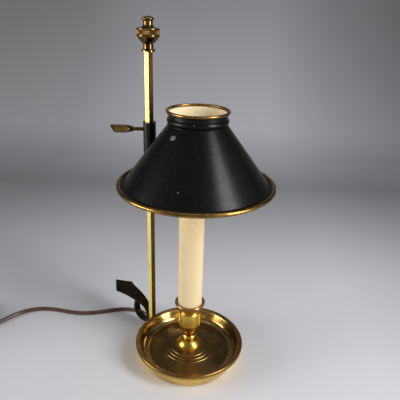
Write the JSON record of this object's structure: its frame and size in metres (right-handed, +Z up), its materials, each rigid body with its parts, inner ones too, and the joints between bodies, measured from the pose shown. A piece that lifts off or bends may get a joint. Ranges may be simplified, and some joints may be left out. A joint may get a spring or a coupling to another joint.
{
  "type": "bouillotte table lamp",
  "caption": "Brass dish table lamp with a candle-shaped holder and a black cone shade that slides on a square side post and is held by a thumb key.",
  "frame": {"origin": "on the candle's axis, on the flat felt pad that stands on the table", "axes": "+Z up along the candle; the square post stands on the -X side, and +X points from the post to the candle"},
  "size_m": [0.4201, 0.298, 0.3629],
  "materials": {
    "dish_brass": "lacquered brass gone darker, satin, milled rim",
    "polished_brass": "polished brass with light handling wear",
    "aged_brass": "aged brown brass, satin",
    "black_paint": "gloss black outside, cream paint inside",
    "sleeve_black": "gloss black",
    "candle_plastic": "ivory plastic, soft sheen",
    "plated_steel": "zinc plated",
    "cast_iron": "as cast, painted",
    "felt": "wool felt",
    "holder_moulding": "moulded phenolic",
    "bulb_glass": "frosted inside",
    "cap_aluminium": "rolled thread",
    "cord_brown": "glossy brown flex",
    "bush_rubber": "moulded rubber",
    "plug_plastic": "moulded on to the cord",
    "pin_brass": "turned, plated"
  },
  "bodies": {
    "base": {"dish": "dish_brass", "felt_pad": "felt", "base_weight": "cast_iron", "threaded_rod": "plated_steel", "base_nut": "plated_steel", "base_washer": "plated_steel", "stem_foot": "polished_brass", "stem_bead": "polished_brass", "candle_cup": "polished_brass", "drip_collar": "polished_brass", "collar_nut": "plated_steel", "candle_tube": "candle_plastic", "holder_bracket": "plated_steel", "bracket_nut": "plated_steel", "holder_body": "holder_moulding", "holder_shell": "pin_brass", "holder_contact": "pin_brass", "bulb_tip": "cap_aluminium", "bulb_insulator": "holder_moulding", "bulb_cap": "cap_aluminium", "bulb_glass": "bulb_glass", "bulb_mount": "bulb_glass", "square_post": "polished_brass", "post_lug": "dish_brass", "post_screw": "polished_brass", "finial": "polished_brass", "finial_stud": "plated_steel", "handle": "aged_brass", "cord": "cord_brown", "cord_coil": "cord_brown", "cord_bush": "bush_rubber", "inner_wires": "cord_brown", "plug_body": "plug_plastic", "plug_pins": "pin_brass", "plug_relief": "bush_rubber"},
    "shade": {"shade_cone": "black_paint", "top_ring": "polished_brass", "bottom_rim": "polished_brass", "sleeve": "sleeve_black"},
    "pad": {"clamp_pad": "pin_brass"},
    "key": {"thumb_key": "aged_brass"}
  },
  "joints": [
    {"name": "shade_slide", "type": "slide", "parent": "base", "child": "shade", "axis": [0, 0, 1], "range_m": [-0.15, 0.066]},
    {"name": "pad_slide", "type": "slide", "parent": "shade", "child": "pad", "axis": [-0.7071, -0.7071, 0], "range_m": [0, 0.0007]},
    {"name": "key_turn", "type": "hinge", "parent": "pad", "child": "key", "pos_m": [-0.0627, 0, 0.2548], "axis": [-0.7071, -0.7071, 0], "range_deg": [0, 360]}
  ],
  "couplings": [
    {"joint": "key_turn", "follows": "pad_slide", "rad_per_m": 8976}
  ]
}
